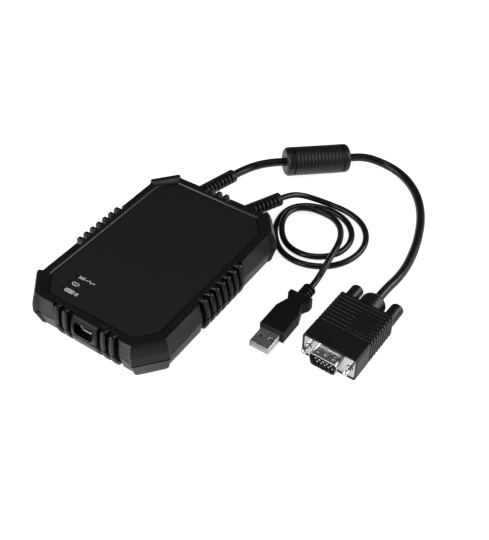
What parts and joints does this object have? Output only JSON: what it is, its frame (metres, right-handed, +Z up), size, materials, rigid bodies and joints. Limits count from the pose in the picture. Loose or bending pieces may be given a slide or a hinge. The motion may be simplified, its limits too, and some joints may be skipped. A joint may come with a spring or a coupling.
{
  "type": "crash cart adapter",
  "caption": "Rugged handheld console adapter with corner bumpers, grip ribs, a mini USB port, a VGA plug on a ferrite cable and a USB plug on a coiled cable.",
  "frame": {"origin": "under the middle of the casing, on the surface that it stands on", "axes": "+X to the casing's right side, +Y from the mini USB port to the two cables, +Z up"},
  "size_m": [0.1764, 0.2399, 0.026],
  "materials": {
    "casing": "matte, finely speckled",
    "moulded_black": "satin",
    "cable_jacket": "satin",
    "plated_steel": "satin plated",
    "contact_gold": "plated",
    "insert_plastic": "matte",
    "white_plastic": "matte",
    "light_window": "clear",
    "board": "satin",
    "chip": "matte",
    "ferrite": "matte",
    "screw_steel": "plain"
  },
  "bodies": {
    "adapter": {"upper_shell": "casing", "lower_shell": "casing", "case_screws": "screw_steel", "main_board": "board", "board_screws": "screw_steel", "main_processor": "chip", "memory_chip": "chip", "video_converter": "chip", "usb_hub_chip": "chip", "crystal": "plated_steel", "vga_header": "white_plastic", "usb_header": "white_plastic", "capacitors": "screw_steel", "usb_mini_shell": "plated_steel", "usb_mini_insert": "insert_plastic", "usb_mini_contacts": "contact_gold", "status_leds": "white_plastic", "light_pipes": "light_window", "vga_strain_relief": "moulded_black", "usb_strain_relief": "moulded_black", "vga_lead": "cable_jacket", "usb_lead": "cable_jacket", "vga_cable": "cable_jacket", "usb_cable": "cable_jacket", "ferrite_core": "ferrite", "ferrite_cover": "moulded_black", "vga_hood": "moulded_black", "vga_shell": "plated_steel", "vga_insert": "insert_plastic", "vga_pins": "contact_gold", "usb_grip": "moulded_black", "usb_shell": "plated_steel", "usb_tongue": "insert_plastic", "usb_contacts": "contact_gold"},
    "left_screw": {"left_screw_knob": "moulded_black", "left_screw_shaft": "screw_steel"},
    "right_screw": {"right_screw_knob": "moulded_black", "right_screw_shaft": "screw_steel"}
  },
  "joints": [
    {"name": "left_screw_turn", "type": "hinge", "parent": "adapter", "child": "left_screw", "pos_m": [0.09851, 0.00084, 0.00775], "axis": [-0.0349, -0.9994, 0], "continuous": true},
    {"name": "right_screw_turn", "type": "hinge", "parent": "adapter", "child": "right_screw", "pos_m": [0.12349, -0.00004, 0.00775], "axis": [-0.0349, -0.9994, 0], "continuous": true}
  ]
}
